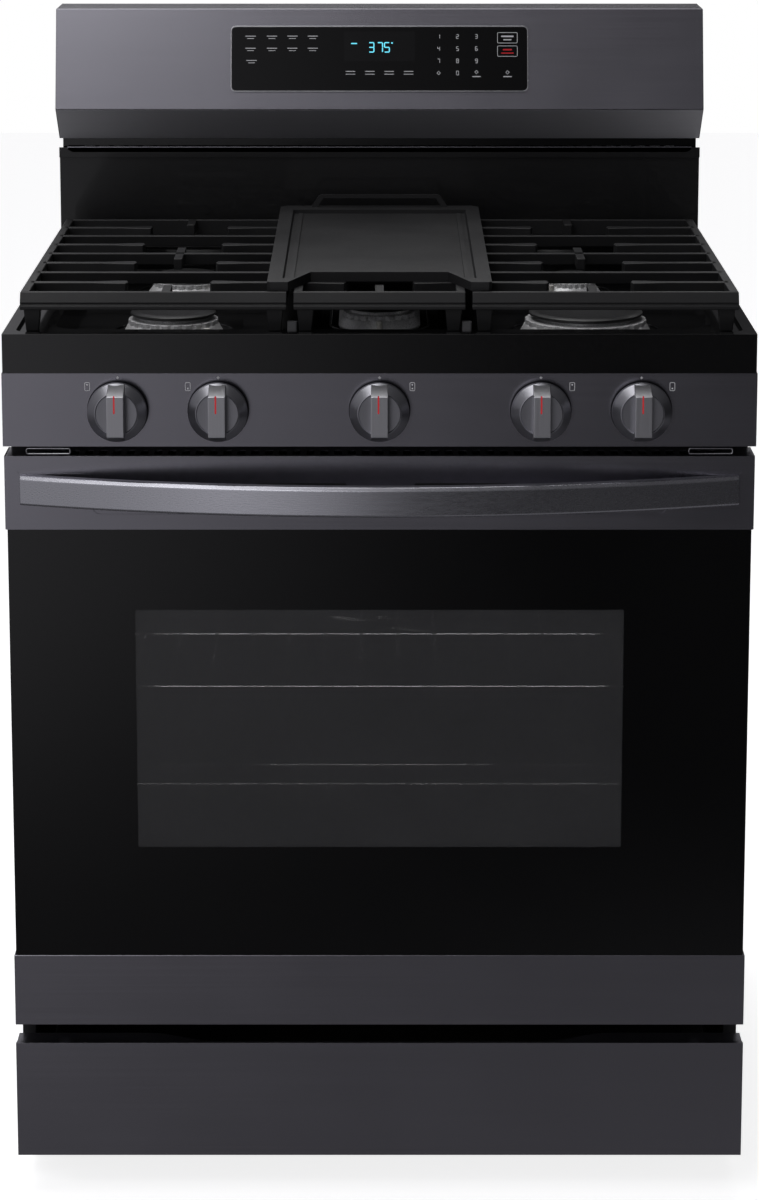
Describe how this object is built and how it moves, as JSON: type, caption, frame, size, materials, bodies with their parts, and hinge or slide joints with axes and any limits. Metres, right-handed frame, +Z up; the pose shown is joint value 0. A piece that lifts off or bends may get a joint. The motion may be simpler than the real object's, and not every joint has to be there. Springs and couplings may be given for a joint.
{
  "type": "freestanding gas range",
  "caption": "Freestanding gas range with sealed burners, cast grates, griddle, convection oven, drop-down door, storage drawer and raised control backguard.",
  "frame": {"origin": "on the floor, under the middle of the range's bounding box, handle included", "axes": "+X to the range's right as seen from the front, +Y to the back, +Z up"},
  "size_m": [0.759, 0.732, 1.19],
  "materials": {
    "coated_steel": "semi-gloss coated steel",
    "side_enamel": "satin black enamel",
    "galvanised": "plain galvanised sheet",
    "oven_enamel": "speckled blue-black porcelain",
    "glass_wool": "glass-wool blanket",
    "gas_tube": "aluminised tube",
    "zinc_parts": "zinc-plated steel",
    "fan_steel": "bare steel",
    "lamp_glass": "clear ribbed lens",
    "rack_chrome": "bright chrome",
    "gasket": "woven glass-fibre rope",
    "black_stainless": "brushed black stainless, horizontal grain",
    "handle_steel": "brushed black stainless",
    "door_glass": "black tinted glass",
    "inner_glass": "clear tempered glass",
    "door_enamel": "gloss black enamel",
    "drawer_steel": "satin grey paint",
    "cooktop_enamel": "gloss black porcelain enamel",
    "burner_aluminium": "machined aluminium",
    "cap_enamel": "satin black enamel",
    "igniter_ceramic": "white ceramic",
    "cast_iron": "satin black enamelled cast iron",
    "griddle_coating": "satin dark non-stick coating",
    "brass_parts": "machined brass",
    "bezel_metal": "satin dark metal",
    "stem_steel": "bare steel",
    "knob_metal": "brushed dark metal",
    "touch_glass": "black glass",
    "board": "electronics tray"
  },
  "bodies": {
    "root": {"base_pan": "coated_steel", "leveling_legs": "zinc_parts", "side_panel_left": "side_enamel", "side_panel_right": "side_enamel", "rear_panel": "galvanised", "front_frame": "side_enamel", "oven_liner": "oven_enamel", "oven_insulation": "glass_wool", "oven_floor_cover": "oven_enamel", "bake_burner": "gas_tube", "broil_burner": "gas_tube", "fan_cover": "oven_enamel", "fan_motor": "zinc_parts", "oven_lamp": "lamp_glass", "temperature_probe": "zinc_parts", "hinge_receivers": "zinc_parts", "drawer_rails": "zinc_parts", "cooktop": "cooktop_enamel", "burner_heads": "burner_aluminium", "burner_caps": "cap_enamel", "igniters": "igniter_ceramic", "left_grate": "cast_iron", "right_grate": "cast_iron", "gas_manifold": "gas_tube", "gas_valves": "brass_parts", "pressure_regulator": "zinc_parts", "control_panel": "black_stainless", "knob_bezels": "bezel_metal", "backguard_riser": "cooktop_enamel", "backguard_panel": "black_stainless", "backguard_rear_cover": "galvanised", "vent_trim": "cooktop_enamel", "touch_glass": "touch_glass", "control_board": "board"},
    "oven_door": {"door_top_trim": "black_stainless", "door_bottom_trim": "black_stainless", "door_outer_glass": "door_glass", "door_inner_panel": "door_enamel", "door_inner_glass": "inner_glass", "door_handle": "handle_steel", "door_hinges": "zinc_parts", "door_gasket": "gasket"},
    "storage_drawer": {"drawer_front": "black_stainless", "drawer_box": "drawer_steel"},
    "upper_rack": {"upper_rack": "rack_chrome"},
    "lower_rack": {"lower_rack": "rack_chrome"},
    "center_grate": {"center_grate": "cast_iron"},
    "griddle": {"griddle": "griddle_coating"},
    "convection_fan": {"fan_blade": "fan_steel"},
    "door_latch": {"door_latch": "zinc_parts"},
    "stem_front_left": {"valve_stem_1": "stem_steel"},
    "knob_front_left": {"knob_1": "knob_metal"},
    "stem_rear_left": {"valve_stem_2": "stem_steel"},
    "knob_rear_left": {"knob_2": "knob_metal"},
    "stem_center": {"valve_stem_3": "stem_steel"},
    "knob_center": {"knob_3": "knob_metal"},
    "stem_rear_right": {"valve_stem_4": "stem_steel"},
    "knob_rear_right": {"knob_4": "knob_metal"},
    "stem_front_right": {"valve_stem_5": "stem_steel"},
    "knob_front_right": {"knob_5": "knob_metal"}
  },
  "joints": [
    {"name": "oven_door_hinge", "type": "hinge", "parent": "root", "child": "oven_door", "pos_m": [0, -0.28, 0.196], "axis": [1, 0, 0], "range_deg": [0, 90], "stiffness_Nm_per_rad": 12, "springref_deg": -14.32},
    {"name": "drawer_slide", "type": "slide", "parent": "root", "child": "storage_drawer", "axis": [0, -1, 0], "range_m": [0, 0.4]},
    {"name": "upper_rack_slide", "type": "slide", "parent": "root", "child": "upper_rack", "axis": [0, -1, 0], "range_m": [0, 0.02]},
    {"name": "lower_rack_slide", "type": "slide", "parent": "root", "child": "lower_rack", "axis": [0, -1, 0], "range_m": [0, 0.02]},
    {"name": "center_grate_lift", "type": "slide", "parent": "root", "child": "center_grate", "axis": [0, 0, 1], "range_m": [0, 0.08]},
    {"name": "griddle_lift", "type": "slide", "parent": "center_grate", "child": "griddle", "axis": [0, 0, 1], "range_m": [0, 0.08]},
    {"name": "convection_fan_spin", "type": "hinge", "parent": "root", "child": "convection_fan", "pos_m": [0, 0.238, 0.469], "axis": [0, 1, 0], "continuous": true},
    {"name": "door_latch_swing", "type": "hinge", "parent": "root", "child": "door_latch", "pos_m": [0, -0.233, 0.755], "axis": [0, 0, -1], "range_deg": [0, 15]},
    {"name": "knob_turn_front_left", "type": "hinge", "parent": "root", "child": "stem_front_left", "pos_m": [-0.263, -0.304, 0.8365], "axis": [0, -1, 0], "range_deg": [0, 240]},
    {"name": "knob_push_front_left", "type": "slide", "parent": "stem_front_left", "child": "knob_front_left", "axis": [0, 1, 0], "range_m": [0, 0.004], "stiffness_N_per_m": 1500, "springref_m": -0.002},
    {"name": "knob_turn_rear_left", "type": "hinge", "parent": "root", "child": "stem_rear_left", "pos_m": [-0.162, -0.304, 0.8365], "axis": [0, -1, 0], "range_deg": [0, 240]},
    {"name": "knob_push_rear_left", "type": "slide", "parent": "stem_rear_left", "child": "knob_rear_left", "axis": [0, 1, 0], "range_m": [0, 0.004], "stiffness_N_per_m": 1500, "springref_m": -0.002},
    {"name": "knob_turn_center", "type": "hinge", "parent": "root", "child": "stem_center", "pos_m": [0, -0.304, 0.8365], "axis": [0, -1, 0], "range_deg": [0, 240]},
    {"name": "knob_push_center", "type": "slide", "parent": "stem_center", "child": "knob_center", "axis": [0, 1, 0], "range_m": [0, 0.004], "stiffness_N_per_m": 1500, "springref_m": -0.002},
    {"name": "knob_turn_rear_right", "type": "hinge", "parent": "root", "child": "stem_rear_right", "pos_m": [0.162, -0.304, 0.8365], "axis": [0, -1, 0], "range_deg": [0, 240]},
    {"name": "knob_push_rear_right", "type": "slide", "parent": "stem_rear_right", "child": "knob_rear_right", "axis": [0, 1, 0], "range_m": [0, 0.004], "stiffness_N_per_m": 1500, "springref_m": -0.002},
    {"name": "knob_turn_front_right", "type": "hinge", "parent": "root", "child": "stem_front_right", "pos_m": [0.263, -0.304, 0.8365], "axis": [0, -1, 0], "range_deg": [0, 240]},
    {"name": "knob_push_front_right", "type": "slide", "parent": "stem_front_right", "child": "knob_front_right", "axis": [0, 1, 0], "range_m": [0, 0.004], "stiffness_N_per_m": 1500, "springref_m": -0.002}
  ]
}
